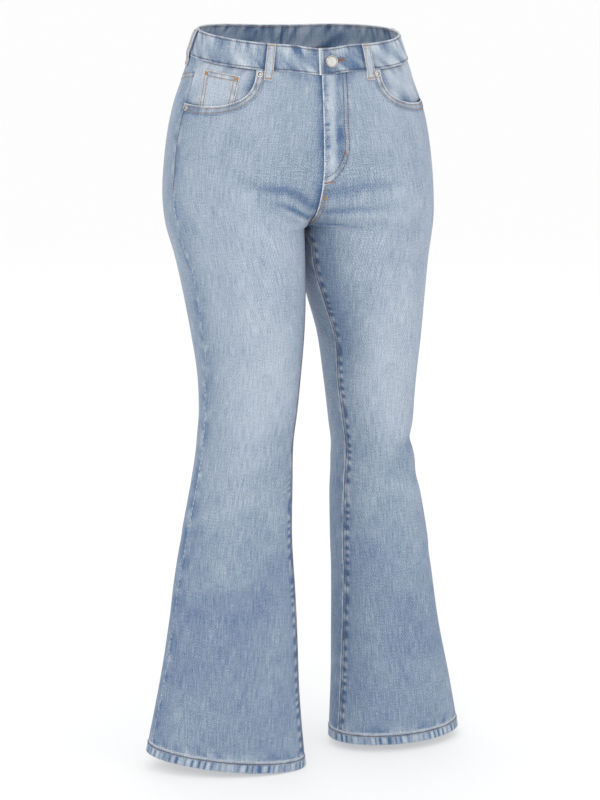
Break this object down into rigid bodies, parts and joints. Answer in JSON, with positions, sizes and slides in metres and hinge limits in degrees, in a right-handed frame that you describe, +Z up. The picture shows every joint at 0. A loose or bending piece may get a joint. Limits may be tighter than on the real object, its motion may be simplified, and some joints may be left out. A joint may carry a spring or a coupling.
{
  "type": "bootcut jeans",
  "caption": "High-waisted light denim bootcut trousers with flared legs, filled out as worn, open at waist and hems.",
  "frame": {"origin": "centre of the waist opening, level with the mean height of the waistband's top edge", "axes": "+Z up along the body out of the waist, -Y is the front, +X is the wearer's left"},
  "size_m": [0.4743, 0.2469, 1.0285],
  "materials": {
    "denim": "washed light blue twill",
    "facing": "washed blue twill, slightly darker",
    "metal": "plain silver-coloured"
  },
  "bodies": {
    "root": {"waistband": "denim", "front_left": "denim", "front_right": "denim", "back_left": "denim", "back_right": "denim", "yoke_left": "denim", "yoke_right": "denim", "pocket_facing_left": "facing", "pocket_facing_right": "facing", "coin_pocket": "denim", "back_pocket_left": "denim", "back_pocket_right": "denim", "fly_shield": "facing", "belt_loop_front_left": "denim", "belt_loop_front_right": "denim", "belt_loop_side_left": "denim", "belt_loop_side_right": "denim", "belt_loop_back": "denim", "hem_left": "denim", "hem_right": "denim", "button": "metal", "rivet_top_left": "metal", "rivet_top_right": "metal", "rivet_side_left": "metal", "rivet_side_right": "metal"}
  },
  "joints": []
}
